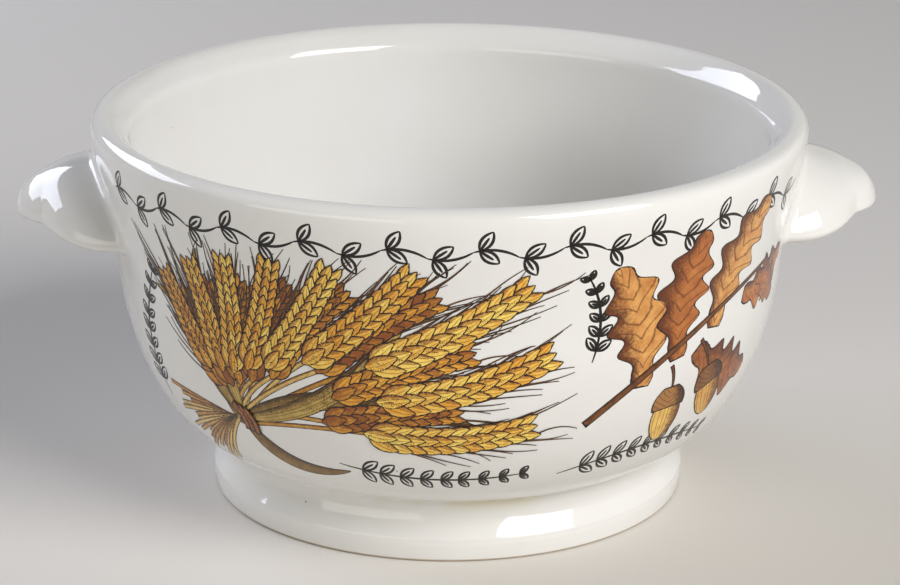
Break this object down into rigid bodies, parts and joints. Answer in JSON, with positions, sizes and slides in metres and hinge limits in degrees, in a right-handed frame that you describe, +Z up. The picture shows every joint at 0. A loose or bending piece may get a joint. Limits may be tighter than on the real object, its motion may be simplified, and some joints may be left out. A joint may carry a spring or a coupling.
{
  "type": "french onion soup crock",
  "caption": "Footed porcelain soup crock with a flared wall, a rolled lip, a luted foot ring and drooping lug handles.",
  "frame": {"origin": "centre of the foot ring's tread, on the plane the crock stands on", "axes": "+Z up along the axis the bowl was turned on; the lug handles point along +X and -X"},
  "size_m": [0.1636, 0.135, 0.0738],
  "materials": {
    "bowl_glaze": "gloss glaze on white porcelain",
    "foot_glaze": "gloss glaze, bare tread",
    "lug_glaze": "gloss glaze on white porcelain"
  },
  "bodies": {
    "root": {"bowl": "bowl_glaze", "foot_ring": "foot_glaze", "handle_left": "lug_glaze", "handle_right": "lug_glaze"}
  },
  "joints": []
}
